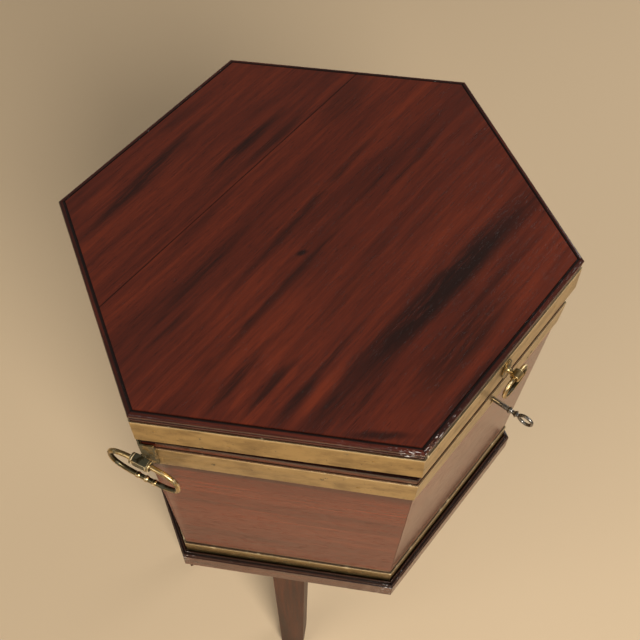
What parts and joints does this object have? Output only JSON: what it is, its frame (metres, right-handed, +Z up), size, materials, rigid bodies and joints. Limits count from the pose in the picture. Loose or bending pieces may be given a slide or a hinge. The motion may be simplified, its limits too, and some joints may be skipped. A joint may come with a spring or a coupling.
{
  "type": "cellarette",
  "caption": "Hexagonal brass-bound mahogany wine cooler with a hinged locking lid, lead-lined tapering case, side carrying handles and a stand with square tapered legs.",
  "frame": {"origin": "on the floor, under the middle of the whole, counting the key in front and the hinge knuckles behind", "axes": "+Z up, -Y toward the lock side, X from one carrying handle to the other"},
  "size_m": [0.5254, 0.4806, 0.7112],
  "materials": {
    "lid_mahogany": "french-polished dark red-brown mahogany, worn at the edges",
    "case_mahogany": "french-polished red-brown mahogany, horizontal grain",
    "stand_mahogany": "waxed brown mahogany, worn beads",
    "base_wood": "unfinished secondary wood",
    "brass": "aged lacquer-free brass with dark spots",
    "iron": "dark rubbed steel",
    "lead": "dull grey sheet lead"
  },
  "bodies": {
    "stand": {"stand_rail_front": "stand_mahogany", "stand_rail_front_right": "stand_mahogany", "stand_rail_back_right": "stand_mahogany", "stand_rail_back": "stand_mahogany", "stand_rail_back_left": "stand_mahogany", "stand_rail_front_left": "stand_mahogany", "stand_moulding_front": "stand_mahogany", "stand_moulding_front_right": "stand_mahogany", "stand_moulding_back_right": "stand_mahogany", "stand_moulding_back": "stand_mahogany", "stand_moulding_back_left": "stand_mahogany", "stand_moulding_front_left": "stand_mahogany", "leg_front_right": "stand_mahogany", "leg_back_right": "stand_mahogany", "leg_back_left": "stand_mahogany", "leg_front_left": "stand_mahogany"},
    "case": {"case_panel_front": "case_mahogany", "case_panel_front_right": "case_mahogany", "case_panel_back_right": "case_mahogany", "case_panel_back": "case_mahogany", "case_panel_back_left": "case_mahogany", "case_panel_front_left": "case_mahogany", "case_upper_band": "brass", "case_lower_band": "brass", "case_base": "base_wood", "lead_liner": "lead", "hinge_case_leaf_left": "brass", "hinge_pin_left": "brass", "hinge_case_leaf_right": "brass", "hinge_pin_right": "brass", "lock_case": "brass", "handle_bracket_left": "brass", "handle_bracket_right": "brass"},
    "lid": {"lid_board_front": "lid_mahogany", "lid_board_back": "lid_mahogany", "lid_moulding_front": "lid_mahogany", "lid_moulding_front_right": "lid_mahogany", "lid_moulding_back_right": "lid_mahogany", "lid_moulding_back": "lid_mahogany", "lid_moulding_back_left": "lid_mahogany", "lid_moulding_front_left": "lid_mahogany", "lid_side_front": "lid_mahogany", "lid_side_front_right": "lid_mahogany", "lid_side_back_right": "lid_mahogany", "lid_side_back": "lid_mahogany", "lid_side_back_left": "lid_mahogany", "lid_side_front_left": "lid_mahogany", "lid_band": "brass", "hinge_lid_leaf_left": "brass", "hinge_lid_leaf_right": "brass", "lid_link_plate": "brass", "lid_ring_bracket": "brass"},
    "lid_ring": {"lid_ring": "brass"},
    "bail_left": {"handle_bail_left": "brass"},
    "bail_right": {"handle_bail_right": "brass"},
    "key": {"key": "iron"},
    "lock_bolt": {"lock_bolt": "iron"}
  },
  "joints": [
    {"name": "case_lift", "type": "slide", "parent": "stand", "child": "case", "axis": [0, 0, 1], "range_m": [0, 0.06]},
    {"name": "lid_hinge", "type": "hinge", "parent": "case", "child": "lid", "pos_m": [0, 0.23725, 0.6513], "axis": [-1, 0, 0], "range_deg": [-1.5, 93.5]},
    {"name": "lid_ring_swing", "type": "hinge", "parent": "lid", "child": "lid_ring", "pos_m": [0, -0.20988, 0.68292], "axis": [-1, 0, 0], "range_deg": [-12, 110]},
    {"name": "left_bail_swing", "type": "hinge", "parent": "case", "child": "bail_left", "pos_m": [-0.2528, 0.01605, 0.6199], "axis": [-0.1994, 0.9799, 0], "range_deg": [-6, 110]},
    {"name": "right_bail_swing", "type": "hinge", "parent": "case", "child": "bail_right", "pos_m": [0.2528, 0.01605, 0.6199], "axis": [-0.1994, -0.9799, 0], "range_deg": [-6, 110]},
    {"name": "key_turn", "type": "hinge", "parent": "case", "child": "key", "pos_m": [0, -0.19505, 0.6219], "axis": [0, 1, 0], "range_deg": [0, 180]},
    {"name": "bolt_throw", "type": "slide", "parent": "case", "child": "lock_bolt", "axis": [1, 0, 0], "range_m": [0, 0.007]}
  ],
  "couplings": [
    {"joint": "key_turn", "follows": "bolt_throw", "rad_per_m": 448.79}
  ]
}
